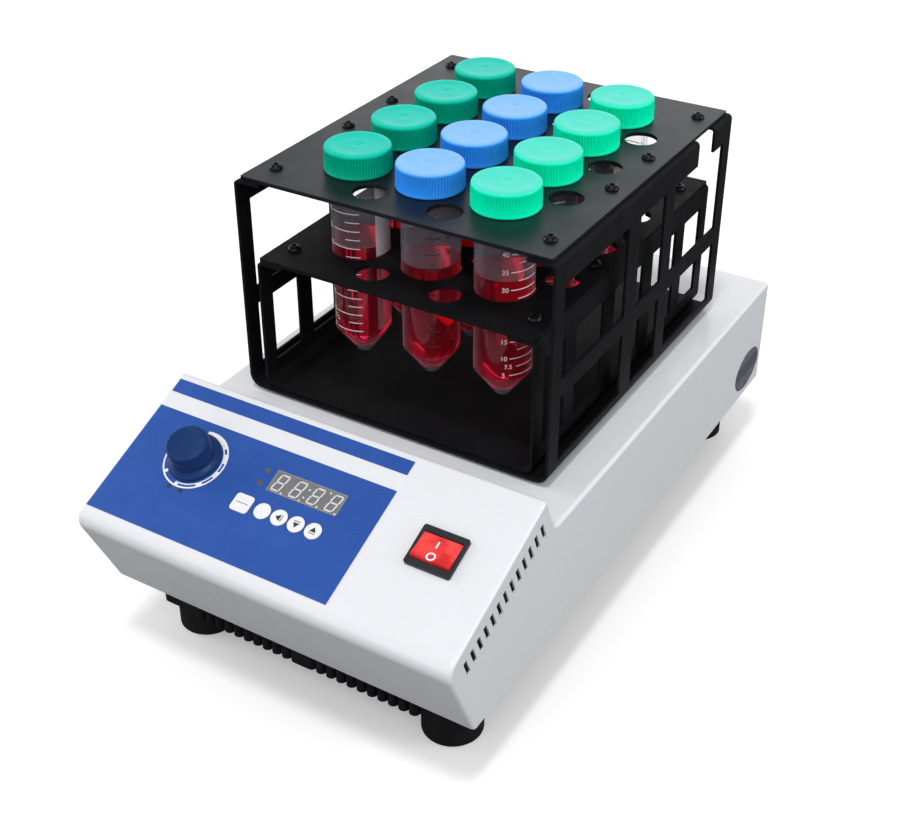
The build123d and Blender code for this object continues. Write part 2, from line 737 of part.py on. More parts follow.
def make_cap():
    top = CAP_SEAT + CAP_H
    gap = NECK_R + 0.3
    return spun([
        (gap, CAP_SEAT), (CAP_R, CAP_SEAT), (CAP_R - 0.25, top - 1.4), (CAP_R - 1.5, top), (1.6, top),
        (1.2, top - 0.5), (0, top - 0.5), (0, top - 1.7), (gap, top - 1.7),
    ])


def build():
    save("housing_cover", make_cover())
    save("bottom_pan", make_pan())
    save("feet", *[make_foot(x, y) for x, y in foot_places()])
    save("panel_overlay", *make_overlay())
    save("display_window", make_display())
    save("status_leds", make_led(LED_S0), make_led(LED_S1))
    save("key_run", make_run_key())
    for i, name in enumerate(("key_mode", "key_left", "key_down", "key_up")):
        save(name, make_round_key(i))
    save("speed_knob", make_knob())
    save("potentiometer", make_potentiometer())
    save("switch_bezel", make_bezel())
    save("power_rocker", make_rocker())
    save("control_board", make_control_board())
    save("power_inlet", make_inlet())
    save("power_supply", make_power_supply())
    save("chassis", make_chassis())
    places = [(0, SPINDLE_Y)] + idler_places()
    save("bearing_units", *[make_bearing_unit(x, y) for x, y in places])
    save("drive_motor", make_motor())
    save("motor_pulley", make_motor_pulley())
    save("drive_belt", make_belt())
    save("spindle", make_crank(0, SPINDLE_Y, BELT_Z0 - 4))
    save("spindle_pulley", make_big_pulley())
    for number, (x, y) in enumerate(idler_places(), 1):
        save(f"idler_crank_{number}", make_crank(x, y, CHASSIS_Z - 6))
    save("carrier_plate", make_carrier())
    save("carrier_bearings", *[make_carrier_bearing(x, y + ORBIT) for x, y in places])
    save("carrier_posts", *[make_post(x, y) for x, y in post_places()])
    save("outer_frame", make_outer_frame())
    save("inner_frame", make_inner_frame())
    save("top_plate", make_plate(TOP_W, TOP_D, RACK_Y, OUTER_TOP, TOP_SCREW_X))
    save("middle_plate", make_plate(MID_W, MID_D, INNER_Y, INNER_TOP, MID_SCREW_X))
    save("rack_screws", *all_screws())
    tube = make_tube()
    cap = make_cap()
    for name, x, y in tube_places():
        save(f"tube_{name}", Pos(x, y, 0) * tube)
        save(f"cap_{name}", Pos(x, y, 0) * cap)


build()
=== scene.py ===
"""Looks for the conical tube mixer: materials, detailed pieces, camera and light, in the CAD's frame."""

import json
import math

import bmesh
import bpy
from mathutils import Matrix, Vector


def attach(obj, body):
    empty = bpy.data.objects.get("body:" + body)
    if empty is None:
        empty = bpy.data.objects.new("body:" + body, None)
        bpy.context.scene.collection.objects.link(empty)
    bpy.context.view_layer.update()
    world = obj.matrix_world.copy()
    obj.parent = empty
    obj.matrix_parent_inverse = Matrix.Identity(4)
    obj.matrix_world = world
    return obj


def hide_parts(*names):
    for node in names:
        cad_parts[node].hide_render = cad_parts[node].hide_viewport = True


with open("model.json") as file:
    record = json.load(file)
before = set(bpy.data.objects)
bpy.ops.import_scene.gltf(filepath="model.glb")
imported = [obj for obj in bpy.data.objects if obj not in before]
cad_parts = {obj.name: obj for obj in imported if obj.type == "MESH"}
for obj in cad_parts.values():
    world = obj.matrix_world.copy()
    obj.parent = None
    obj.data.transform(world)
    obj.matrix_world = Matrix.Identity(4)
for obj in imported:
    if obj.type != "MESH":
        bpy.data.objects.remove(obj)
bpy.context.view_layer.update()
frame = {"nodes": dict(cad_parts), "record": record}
NODES = frame["nodes"]
MM = 0.001

# ---- sizes, in millimetres, as the CAD has them -------------------------------
RIDGE = (-101.3, 127.95)    # y and z of the sloped panel's upper edge
NOSE = (-189.2, 91.4)       # y and z of its lower edge
PANEL_START = 1.4           # from the ridge down the slope to the panel's zero line
OVERLAY_TOP = 0.3           # face of the film on the panel
KNOB_AT = (-66.6, -41.6)    # places on the panel: across, and up the slope
RING_AT = (-66.0, -42.1)
SWITCH_AT = (71.6, -42.0)
SWITCH_RISE = 2.3           # where the rocker's two faces meet, over the panel
KEY_ROW = -54.5
KEY_X = {"left": -7.17, "down": 2.56, "up": 12.29}
RUN_KEY_X = -28.9
GRILLE_AT = (105.6, 163.7, 56.0)        # on the right side, in the recess of the cover
RACK_Y = 34.0
INNER_Y = 35.0              # middle of the inner frame, which carries the middle plate
PITCH = 41.8
TOP_SEAT = 228.6
MID_SEAT = 185.0
CAP_SEAT = 228.7
CAP_H = 12.6
CAP_R = 17.2
CAP_BORE_R = 14.6
TUBE_R = 15.0
TUBE_TIP = 124.6
CONE_TOP = 140.3
TIP_SOLID = 4.4             # solid plastic below the inside of the cone

SLOPE = math.atan2(RIDGE[1] - NOSE[1], RIDGE[0] - NOSE[0])
PANEL = (
    Matrix.Translation((
        0,
        (RIDGE[0] - PANEL_START * math.cos(SLOPE)) * MM,
        (RIDGE[1] - PANEL_START * math.sin(SLOPE)) * MM,
    ))
    @ Matrix.Rotation(SLOPE, 4, "X")
    @ Matrix.Scale(MM, 4)
)
UPRIGHT = Matrix.Scale(MM, 4)

TUBES = {}
for column, letter in enumerate("abc"):
    for row in range(4):
        TUBES[f"{letter}{row + 1}"] = ((column - 1) * PITCH, RACK_Y + (row - 1.5) * PITCH)


# ---- materials ------------------------------------------------------------------
# The Mix node's colour sockets share their names with the number sockets, so they go by place.
MIX_COLOUR_A = 6
MIX_COLOUR_B = 7
MIX_COLOUR_RESULT = 2


def shader(name):
    """A new node material: its tree, its shader and its object coordinates."""
    mat = bpy.data.materials.new(name)
    mat.use_nodes = True
    tree = mat.node_tree
    bsdf = tree.nodes["Principled BSDF"]
    coords = tree.nodes.new("ShaderNodeTexCoord")
    return mat, tree, bsdf, coords.outputs["Object"]


def noise(tree, vector, scale, detail=3.0, stretch=None):
    """Noise from 0 to 1, with an optional stretch along the axes."""
    if stretch:
        mapping = tree.nodes.new("ShaderNodeMapping")
        mapping.inputs["Scale"].default_value = stretch
        tree.links.new(vector, mapping.inputs["Vector"])
        vector = mapping.outputs["Vector"]
    node = tree.nodes.new("ShaderNodeTexNoise")
    node.inputs["Scale"].default_value = scale
    node.inputs["Detail"].default_value = detail
    node.inputs["Roughness"].default_value = 0.55
    tree.links.new(vector, node.inputs["Vector"])
    return node.outputs["Fac"]


def spread(tree, value, low, high, start=0.3, stop=0.7):
    """Maps start to stop onto low to high."""
    node = tree.nodes.new("ShaderNodeMapRange")
    node.inputs["From Min"].default_value = start
    node.inputs["From Max"].default_value = stop
    node.inputs["To Min"].default_value = low
    node.inputs["To Max"].default_value = high
    tree.links.new(value, node.inputs["Value"])
    return node.outputs["Result"]


def two_tone(tree, value, low, high, start=0.35, stop=0.65):
    """A colour that goes from low to high as the value goes from start to stop."""
    ramp = tree.nodes.new("ShaderNodeValToRGB")
    ramp.color_ramp.elements[0].position = start
    ramp.color_ramp.elements[0].color = (*low, 1)
    ramp.color_ramp.elements[1].position = stop
    ramp.color_ramp.elements[1].color = (*high, 1)
    tree.links.new(value, ramp.inputs["Fac"])
    return ramp.outputs["Color"]


def finish(name, low, high, rough, tone_scale=30.0, rough_scale=160.0, grain=1500.0, grain_mm=0.012,
           stretch=None, round_mm=0.0, **sockets):
    """A solid surface: a slow change of tone, an uneven gloss and a fine relief."""
    mat, tree, bsdf, coords = shader(name)
    tone = noise(tree, coords, tone_scale, 4.0, stretch=stretch)
    tree.links.new(two_tone(tree, tone, low, high), bsdf.inputs["Base Color"])
    gloss = noise(tree, coords, rough_scale, 3.0, stretch=stretch)
    tree.links.new(spread(tree, gloss, rough[0], rough[1]), bsdf.inputs["Roughness"])
    bump = tree.nodes.new("ShaderNodeBump")
    bump.inputs["Strength"].default_value = 1.0
    bump.inputs["Distance"].default_value = grain_mm * MM
    tree.links.new(noise(tree, coords, grain, 2.0, stretch=stretch), bump.inputs["Height"])
    if round_mm:
        bevel = tree.nodes.new("ShaderNodeBevel")
        bevel.samples = 4
        bevel.inputs["Radius"].default_value = round_mm * MM
        tree.links.new(bevel.outputs["Normal"], bump.inputs["Normal"])
    tree.links.new(bump.outputs["Normal"], bsdf.inputs["Normal"])
    for key, value in sockets.items():
        bsdf.inputs[key.replace("_", " ")].default_value = value
    return mat


def height(tree, coords):
    """The Z of the coordinates."""
    split = tree.nodes.new("ShaderNodeSeparateXYZ")
    tree.links.new(coords, split.inputs["Vector"])
    return split.outputs["Z"]


def moulded_cap(name, side, top):
    """Cap plastic: full colour on the ribbed side, and a paler top colour: painted light and sheen where the
    light falls on the top.
    """
    darker = tuple(0.93 * part for part in side)
    mat = finish(name, darker, side, (0.30, 0.40), tone_scale=70.0, grain=1800.0, grain_mm=0.006,
                 Specular_IOR_Level=0.08)
    tree = mat.node_tree
    bsdf = tree.nodes["Principled BSDF"]
    side_tone = bsdf.inputs["Base Color"].links[0].from_socket
    coords = tree.nodes.new("ShaderNodeTexCoord").outputs["Object"]
    # The paler top colour is painted light, a lit and sheened top blended in over the shoulder.
    shoulder, crown = (CAP_H - 1.1) * MM, (CAP_H - 0.1) * MM
    share = spread(tree, height(tree, coords), 0.0, 1.0, shoulder, crown)
    duller = tuple(0.95 * part for part in top)
    painted_lit_top_tone = two_tone(tree, noise(tree, coords, 90.0), duller, top)
    mix = tree.nodes.new("ShaderNodeMix")
    mix.data_type = "RGBA"
    tree.links.new(share, mix.inputs["Factor"])
    tree.links.new(side_tone, mix.inputs[MIX_COLOUR_A])
    tree.links.new(painted_lit_top_tone, mix.inputs[MIX_COLOUR_B])
    tree.links.new(mix.outputs[MIX_COLOUR_RESULT], bsdf.inputs["Base Color"])
    return mat


def clear_plastic():
    """Moulded clear wall: hardly there face on, and milky where it turns away."""
    mat, tree, bsdf, coords = shader("tube_clear_wall")
    haze = noise(tree, coords, 160.0, 2.0, stretch=(1, 1, 0.12))
    tone = two_tone(tree, haze, (0.46, 0.46, 0.56), (0.58, 0.58, 0.68))
    tree.links.new(tone, bsdf.inputs["Base Color"])
    tree.links.new(spread(tree, haze, 0.10, 0.20), bsdf.inputs["Roughness"])
    edge = tree.nodes.new("ShaderNodeLayerWeight")
    edge.inputs["Blend"].default_value = 0.12
    veil = spread(tree, edge.outputs["Facing"], 0.004, 0.42, 0.10, 0.70)
    tree.links.new(veil, bsdf.inputs["Alpha"])
    bsdf.inputs["IOR"].default_value = 1.49
    bsdf.inputs["Specular IOR Level"].default_value = 0.15
    return mat


def dyed_liquid():
    """Red dye in water: clear down the tube, and cloudier in the cone, which paints the cone brighter:
    painted glow.
    """
    mat, tree, bsdf, coords = shader("tube_red_liquid")
    swirl = noise(tree, coords, 60.0, 2.0, stretch=(1, 1, 0.4))
    tone = two_tone(tree, swirl, (0.84, 0.014, 0.050), (0.94, 0.030, 0.080))
    tree.links.new(tone, bsdf.inputs["Base Color"])
    tree.links.new(spread(tree, swirl, 0.02, 0.06), bsdf.inputs["Roughness"])
    # Less transmission in the cone shows more of the lit red: painted glow in the cone.
    cloudy, clear = (CONE_TOP - 7) * MM, (CONE_TOP + 4) * MM
    clearing = spread(tree, height(tree, coords), 0.68, 0.91, cloudy, clear)
    tree.links.new(clearing, bsdf.inputs["Transmission Weight"])
    bsdf.inputs["IOR"].default_value = 1.34
    bsdf.inputs["Specular IOR Level"].default_value = 0.12
    bsdf.inputs["Sheen Weight"].default_value = 1.0
    bsdf.inputs["Sheen Roughness"].default_value = 0.22
    bsdf.inputs["Sheen Tint"].default_value = (1.0, 0.10, 0.13, 1.0)
    return mat


def ink(name, low, high):
    """Dull print."""
    return finish(name, low, high, (0.45, 0.6), tone_scale=400.0, grain=3000.0, grain_mm=0.004)


def frosted(name, alpha, low=(0.74, 0.74, 0.79), high=(0.80, 0.80, 0.85)):
    """Thin printed patch that lets some of what is behind it through."""
    mat, tree, bsdf, coords = shader(name)
    speck = noise(tree, coords, 2400.0, 2.0)
    tree.links.new(two_tone(tree, speck, low, high), bsdf.inputs["Base Color"])
    tree.links.new(spread(tree, speck, alpha - 0.02, alpha + 0.02), bsdf.inputs["Alpha"])
    bsdf.inputs["Roughness"].default_value = 0.5
    bsdf.inputs["Specular IOR Level"].default_value = 0.3
    return mat


def make_materials():
    """One material for each slot of the record, and those of the pieces that the scene adds."""
    m = {}
    m["cover_white"] = finish("cover_white_gloss", (0.752, 0.764, 0.798), (0.762, 0.774, 0.808),
                              (0.20, 0.26), tone_scale=14.0, rough_scale=60.0, grain=2600.0,
                              grain_mm=0.0025, Specular_IOR_Level=0.42)
    m["pan_black"] = finish("pan_black_coat", (0.005, 0.005, 0.006), (0.009, 0.009, 0.011), (0.42, 0.55),
                            grain=1800.0, grain_mm=0.02, round_mm=0.25, Specular_IOR_Level=0.12)
    m["rubber_black"] = finish("foot_rubber", (0.006, 0.006, 0.006), (0.012, 0.012, 0.012), (0.55, 0.75),
                               grain=1100.0, grain_mm=0.04, round_mm=0.5, Specular_IOR_Level=0.12)
    m["overlay_blue"] = finish("overlay_blue_film", (0.019, 0.078, 0.34), (0.024, 0.088, 0.37), (0.34, 0.42),
                               tone_scale=40.0, grain=2600.0, grain_mm=0.004, Specular_IOR_Level=0.22)
    m["display_grey"] = finish("display_smoked", (0.155, 0.165, 0.165), (0.185, 0.195, 0.19), (0.14, 0.22),
                               tone_scale=300.0, grain=4000.0, grain_mm=0.003, Specular_IOR_Level=0.3)
    m["led_amber"] = finish("led_unlit", (0.085, 0.080, 0.062), (0.12, 0.11, 0.085), (0.25, 0.4),
                            tone_scale=500.0, Specular_IOR_Level=0.2)
    m["key_white"] = finish("key_white_film", (0.80, 0.80, 0.82), (0.84, 0.84, 0.86), (0.32, 0.42),
                            tone_scale=200.0, grain=2600.0, grain_mm=0.004, round_mm=0.15)
    m["knob_navy"] = finish("knob_navy_satin", (0.008, 0.032, 0.120), (0.011, 0.040, 0.145), (0.30, 0.40),
                            tone_scale=80.0, grain=2200.0, grain_mm=0.008, Specular_IOR_Level=0.10)
    m["pot_steel"] = finish("pot_plated", (0.5, 0.5, 0.5), (0.6, 0.6, 0.6), (0.25, 0.45), Metallic=1.0)
    m["bezel_black"] = finish("bezel_black_satin", (0.016, 0.018, 0.022), (0.022, 0.024, 0.029), (0.35, 0.48),
                              grain=1800.0, grain_mm=0.012, round_mm=0.35, Specular_IOR_Level=0.2)
    # The rocker's red swings from deep to light in a slow random pattern: painted glow and reflection.
    m["rocker_red"] = finish("rocker_red_gloss", (0.62, 0.006, 0.010), (0.94, 0.060, 0.055), (0.34, 0.44),
                             tone_scale=110.0, grain=1200.0, grain_mm=0.004, round_mm=0.3,
                             Subsurface_Weight=0.25, Subsurface_Scale=0.004)
    m["board_green"] = finish("board_green_mask", (0.012, 0.12, 0.045), (0.02, 0.17, 0.06), (0.3, 0.5),
                              tone_scale=400.0)
    m["inlet_black"] = finish("inlet_black_moulded", (0.010, 0.010, 0.011), (0.016, 0.016, 0.018),
                              (0.35, 0.5), grain_mm=0.015, round_mm=0.3, Specular_IOR_Level=0.25)
    m["chassis_steel"] = finish("chassis_zinc", (0.42, 0.43, 0.45), (0.56, 0.57, 0.6), (0.3, 0.5),
                                tone_scale=120.0, Metallic=1.0)
    m["bearing_alu"] = finish("bearing_machined", (0.55, 0.55, 0.57), (0.66, 0.66, 0.68), (0.25, 0.42),
                              stretch=(1, 1, 12), Metallic=1.0)
    m["motor_black"] = finish("motor_black_paint", (0.025, 0.025, 0.028), (0.045, 0.045, 0.05), (0.3, 0.5))
    m["belt_rubber"] = finish("belt_rubber_cord", (0.01, 0.01, 0.01), (0.02, 0.02, 0.02), (0.6, 0.85),
                              grain=900.0, grain_mm=0.06)
    m["shaft_steel"] = finish("shaft_ground", (0.52, 0.52, 0.53), (0.64, 0.64, 0.65), (0.16, 0.3),
                              stretch=(1, 1, 10), Metallic=1.0)
    m["pulley_alu"] = finish("pulley_turned", (0.56, 0.56, 0.58), (0.68, 0.68, 0.7), (0.22, 0.4),
                             stretch=(1, 1, 14), Metallic=1.0)
    m["rack_black"] = finish("rack_black_coat", (0.0062, 0.0064, 0.0072), (0.0082, 0.0085, 0.0095),
                             (0.46, 0.56), tone_scale=40.0, rough_scale=90.0, grain=1900.0,
                             grain_mm=0.010, round_mm=0.35, Specular_IOR_Level=0.045)
    # The top plate's copy of the rack's black coat, bluish and glossier: painted sheen from the light above.
    m["rack_black_painted_sheen"] = finish("plate_black_coat", (0.0042, 0.0047, 0.0064), (0.0054, 0.0060, 0.0082),
                              (0.34, 0.42), tone_scale=30.0, rough_scale=60.0, grain=1900.0,
                              grain_mm=0.010, round_mm=0.35, Specular_IOR_Level=0.27,
                              Specular_Tint=(0.74, 0.83, 1.0, 1.0))
    m["screw_black"] = finish("screw_black_oxide", (0.005, 0.005, 0.006), (0.009, 0.009, 0.010), (0.16, 0.24),
                              tone_scale=500.0, grain=2500.0, grain_mm=0.006, round_mm=0.12,
                              Specular_IOR_Level=0.14)
    m["tube_clear"] = clear_plastic()
    # The second colour of each cap is its painted lit top.
    m["cap_dark_green"] = moulded_cap("cap_green_moulded", (0.0, 0.45, 0.27), (0.0, 0.60, 0.48))
    m["cap_blue"] = moulded_cap("cap_blue_moulded", (0.035, 0.33, 1.0), (0.24, 0.54, 0.92))
    m["cap_light_green"] = moulded_cap("cap_mint_moulded", (0.0, 0.95, 0.54), (0.07, 0.77, 0.61))
    m["liquid"] = dyed_liquid()
    m["ink_white"] = ink("print_white", (0.80, 0.80, 0.82), (0.88, 0.88, 0.90))
    m["ink_black"] = ink("print_black", (0.010, 0.010, 0.012), (0.022, 0.022, 0.026))
    m["ink_tube"] = ink("print_tube_white", (0.88, 0.86, 0.90), (0.95, 0.93, 0.96))
    m["segment"] = ink("display_segment", (0.62, 0.58, 0.62), (0.70, 0.66, 0.70))
    m["window_edge"] = ink("display_window_edge", (0.19, 0.19, 0.16), (0.24, 0.24, 0.21))
    m["patch_white"] = frosted("tube_patch_white", 0.86)
    # A faint white band on the wall: painted highlight of light through the tube.
    m["painted_highlight_patch"] = frosted("tube_patch_faint", 0.17)
    m["tube_mist"] = frosted("tube_wall_mist", 0.13, (0.56, 0.50, 0.60), (0.68, 0.62, 0.72))
    m["grille_grey"] = finish("grille_grey_moulded", (0.10, 0.108, 0.13), (0.14, 0.148, 0.175), (0.4, 0.55),
                              tone_scale=200.0, grain=1500.0, grain_mm=0.015, round_mm=0.2,
                              Specular_IOR_Level=0.3)
    # Black for painted shade: the sheets behind the side slots and the gaps of the side grille.
    m["screen_black"] = finish("vent_shade_sheet_black", (0.003, 0.003, 0.003), (0.006, 0.006, 0.007), (0.6, 0.8),
                               tone_scale=900.0, grain=1500.0, grain_mm=0.08, Specular_IOR_Level=0.05)
    m["pin_nickel"] = finish("pin_nickel", (0.62, 0.6, 0.56), (0.72, 0.70, 0.66), (0.2, 0.35), Metallic=1.0)
    return m


MATERIALS = make_materials()
# The top plate takes the copy of the rack's coat with painted sheen.
OWN_LOOK = {"top_plate": "rack_black_painted_sheen", "carrier_posts": "rack_black"}


def dress_nodes():
    """Every CAD node takes the material of its own slot, apart from the few in OWN_LOOK."""
    slots = {}
    for entry in frame["record"]["subparts"]:
        slots[entry["node"]] = entry["material_slot"]
    for name, obj in NODES.items():
        material = MATERIALS[OWN_LOOK.get(name, slots[name])]
        if not obj.material_slots:
            obj.data.materials.append(material)
        for slot in obj.material_slots:
            slot.material = material


# ---- mesh helpers -------------------------------------------------------------------
def steps(start, stop, count):
    """Splits a range into equal parts: the two ends of each."""
    ends = [start + (stop - start) * i / count for i in range(count + 1)]
    return zip(ends, ends[1:])


def round_outline(x, y, reach_x, reach_y, count):
    """Points of an ellipse about (x, y)."""
    points = []
    for i in range(count):
        a = 2 * math.pi * i / count
        points.append((x + reach_x * math.cos(a), y + reach_y * math.sin(a)))
    return points


class Shape:
    """Points and faces that grow piece by piece, and then become one object."""

    def __init__(self):
        self.points = []
        self.faces = []

    def add(self, points, faces):
        start = len(self.points)
        self.points.extend(points)
        for face in faces:
            self.faces.append([start + i for i in face])

    def prism(self, outline, low, high):
        """An upright solid over a flat outline of (x, y) points."""
        count = len(outline)
        points = [(x, y, low) for x, y in outline] + [(x, y, high) for x, y in outline]
        faces = [list(range(count))[::-1], [count + i for i in range(count)]]
        for i in range(count):
            j = (i + 1) % count
            faces.append([i, j, count + j, count + i])
        self.add(points, faces)

    def ring(self, x, y, inner, outer, start, stop, low, high, step=3.0):
        """A curved bar between two radii, from one angle to another, in degrees."""
        for a, b in steps(start, stop, max(2, int(math.ceil((stop - start) / step)))):
            a, b = math.radians(a), math.radians(b)
            cell = [
                (x + outer * math.cos(a), y + outer * math.sin(a)),
                (x + outer * math.cos(b), y + outer * math.sin(b)),
                (x + inner * math.cos(b), y + inner * math.sin(b)),
                (x + inner * math.cos(a), y + inner * math.sin(a)),
            ]
            self.prism(cell, low, high)

    def box(self, x0, x1, y0, y1, low, high):
        self.prism([(x0, y0), (x1, y0), (x1, y1), (x0, y1)], low, high)

    def disc(self, x, y, radius, low, high, count=40):
        self.prism(round_outline(x, y, radius, radius, count), low, high)

    def lathe(self, profile, count=96, rib=None):
        """A surface of revolution about Z. rib(index, radius, z) may change a ring's radius by angle."""
        points = []
        for r, z in profile:
            for i in range(count):
                a = 2 * math.pi * i / count
                radius = rib(i, r, z) if rib else r
                points.append((radius * math.cos(a), radius * math.sin(a), z))
        faces = []
        for k in range(len(profile) - 1):
            for i in range(count):
                j = (i + 1) % count
                faces.append([k * count + i, k * count + j, (k + 1) * count + j, (k + 1) * count + i])
        self.add(points, faces)

    def wrap(self, x, y, radius, outline):
        """A flat polygon of (angle in degrees, z) laid on an upright cylinder."""
        points = []
        for angle, z in outline:
            a = math.radians(angle)
            points.append((x + radius * math.cos(a), y + radius * math.sin(a), z))
        self.add(points, [list(range(len(points)))])

    def band(self, x, y, radius, start, stop, count, low, high):
        """A strip laid on an upright cylinder, from one angle to another."""
        for a, b in steps(start, stop, count):
            self.wrap(x, y, radius, [(a, low), (b, low), (b, high), (a, high)])

    def object(self, name, matrix, material, smooth=None):
        """One cleaned mesh object. Edges sharper than smooth degrees stay sharp."""
        mesh = bpy.data.meshes.new(name)
        mesh.from_pydata([matrix @ Vector(p) for p in self.points], [], self.faces)
        bm = bmesh.new()
        bm.from_mesh(mesh)
        bmesh.ops.remove_doubles(bm, verts=bm.verts, dist=1e-6)
        bmesh.ops.dissolve_degenerate(bm, edges=bm.edges, dist=1e-7)
        bmesh.ops.recalc_face_normals(bm, faces=bm.faces)
        bm.to_mesh(mesh)
        bm.free()
        mesh.materials.append(material)
        obj = bpy.data.objects.new(name, mesh)
        bpy.context.scene.collection.objects.link(obj)
        if smooth is not None:
            mesh.shade_smooth()
            mesh.set_sharp_from_angle(angle=math.radians(smooth))
        return obj


def piece(obj, body, replaced=()):
    """Hangs a piece on its body, and hides the CAD nodes that it stands for."""
    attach(obj, body)
    if replaced:
        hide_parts(*replaced)


def glyph(text, size):
    """A short text, centred on zero, as a list of flat polygons of (x, y) points."""
    curve = bpy.data.curves.new("glyph", "FONT")
    curve.body = text
    curve.size = size
    curve.align_x = "CENTER"
    curve.align_y = "CENTER"
    obj = bpy.data.objects.new("glyph", curve)
    bpy.context.scene.collection.objects.link(obj)
    bpy.context.view_layer.update()
    mesh = bpy.data.meshes.new_from_object(obj)
    polygons = []
    for polygon in mesh.polygons:
        polygons.append([(mesh.vertices[i].co.x, mesh.vertices[i].co.y) for i in polygon.vertices])
    bpy.data.objects.remove(obj)
    bpy.data.meshes.remove(mesh)
    bpy.data.curves.remove(curve)
    return polygons


# ---- caps -------------------------------------------------------------------------------
RIBS = 72
RIB_LOW = 1.3               # where the ribs start and end, above the cap's rim
RIB_HIGH = 10.9
RIB_RUNOUT = 0.5
RIB_STEPS = (0.0, 0.0, 0.50, 0.50)      # depth at the four points of one rib and its groove
CAP_SLOTS = {"a": "cap_dark_green", "b": "cap_blue", "c": "cap_light_green"}
CAP_TURN = 37.0             # each cap is screwed on at its own angle


def cap_mesh(name, material):
    """A screw cap with fine upright ribs, a plain rim, a rounded shoulder and a gate mark."""
    top = CAP_H

    def rib(index, radius, z):
        if not RIB_LOW < z < RIB_HIGH:
            return radius
        ramp = min(1.0, (z - RIB_LOW) / RIB_RUNOUT, (RIB_HIGH - z) / RIB_RUNOUT)
        return radius - RIB_STEPS[index % len(RIB_STEPS)] * ramp

    outside = [
        (CAP_BORE_R, 0.0), (16.6, 0.0), (17.05, 0.25), (CAP_R, 0.7), (17.1, 1.25), (17.08, 1.85),
        (17.02, 6.0), (16.95, 10.3), (16.9, 10.85), (16.85, 11.3), (16.7, 11.85), (16.35, 12.25),
        (15.8, 12.5), (15.1, top), (13.2, top), (12.9, top - 0.10), (6.0, top - 0.10), (2.3, top - 0.10),
        (2.0, top - 0.16), (1.6, top - 0.26), (1.1, top - 0.26), (0.8, top - 0.16), (0.4, top - 0.12),
        (0.0, top - 0.12),
    ]
    shape = Shape()
    shape.lathe(outside, RIBS * len(RIB_STEPS), rib)
    shape.lathe([(CAP_BORE_R, 0.0), (CAP_BORE_R, top - 1.7), (0.0, top - 1.7)], 96)
    return shape.object(name, UPRIGHT, material, 40)


def make_caps():
    """Twelve caps. Those of one colour share their mesh."""
    masters = {}
    for number, (name, (x, y)) in enumerate(TUBES.items()):
        slot = CAP_SLOTS[name[0]]
        if slot not in masters:
            obj = cap_mesh(f"cap_ribbed_{name}", MATERIALS[slot])
            masters[slot] = obj.data
        else:
            obj = bpy.data.objects.new(f"cap_ribbed_{name}", masters[slot])
            bpy.context.scene.collection.objects.link(obj)
        turn = Matrix.Rotation(math.radians(CAP_TURN * number), 4, "Z")
        obj.matrix_world = Matrix.Translation((x * MM, y * MM, CAP_SEAT * MM)) @ turn
        piece(obj, f"cap_{name}", [f"cap_{name}"])


# ---- tubes: liquid, print and patches ---------------------------------------------------
LEVELS = {"a": 190.4, "b": 189.8, "c": 194.4}       # mean height of the liquid in each column
LEVEL_SWING = 0.9
LIQUID_R = 14.7
MARK_R = TUBE_R + 0.06
PATCH_R = TUBE_R + 0.04
PATCH_LOW = 151.0           # a large writing field, from its lower to its upper edge
PATCH_HIGH = 222.0
FIVE_ML = 143.3             # height of the 5 mL line
ML_STEP = 1.9               # height of 1 mL in the tube
SCALE_SPAN = 60             # degrees that a white scale's lines go round
LADDER_START = 147.0        # lowest line of the black scale
LADDER_STEP = 1.72
LADDER_LINES = 42
ROW_TURNS = {"1": 0, "2": -38, "3": 61, "4": 118}       # the tubes of a row stand turned alike


def at_tube(x, y):
    """The tube's upright axis, from the bench up."""
    return Matrix.Translation((x * MM, y * MM, 0)) @ UPRIGHT


def liquid_level(name):
    """Tubes of one column are filled nearly alike."""
    return LEVELS[name[0]] + LEVEL_SWING * math.sin(2.1 * (int(name[1]) - 1))


def make_liquid(name, x, y):
    """Liquid to its level, with a meniscus against the wall."""
    level = liquid_level(name)
    inner = LIQUID_R
    tip = TUBE_TIP + TIP_SOLID + 0.6
    profile = [
        (0.0, tip), (5.9, tip), (6.7, tip + 0.3), (inner - 0.5, CONE_TOP - 0.4), (inner, CONE_TOP + 0.4),
        (inner, level + 0.8), (inner - 0.25, level + 0.35), (inner - 0.9, level + 0.08),
        (inner - 2.2, level), (0.0, level),
    ]
    shape = Shape()
    shape.lathe(profile, 80)
    obj = shape.object(f"liquid_{name}", at_tube(x, y), MATERIALS["liquid"], 35)
    piece(obj, f"tube_{name}")


def make_mist(name, x, y):
    """Mist on the dry wall between the liquid and the cap, and the haze of the solid tip."""
    tip = TUBE_TIP + TIP_SOLID + 0.4
    shape = Shape()
    shape.lathe([(LIQUID_R, liquid_level(name) + 1.0), (LIQUID_R, CAP_SEAT - 0.5)], 64)
    shape.lathe([(0.0, tip), (6.4, tip), (3.0, TUBE_TIP + 0.35), (0.0, TUBE_TIP + 0.2)], 48)
    obj = shape.object(f"mist_{name}", at_tube(x, y), MATERIALS["tube_mist"], 60)
    piece(obj, f"tube_{name}")


def mark(shape, x, y, start, stop, z, thick):
    """A printed line round the wall."""
    count = max(2, int((stop - start) / 4))
    shape.band(x, y, MARK_R, start, stop, count, z - thick / 2, z + thick / 2)


def number(shape, x, y, angle, z, text, size):
    """A number on the wall; its polygons bend with the wall."""
    for polygon in glyph(text, size):
        shape.wrap(x, y, MARK_R, [(angle + math.degrees(px / MARK_R), z + py) for px, py in polygon])


def volume_z(ml):
    """Height of a volume's line above the bench."""
    return FIVE_ML + (ml - 5) * ML_STEP


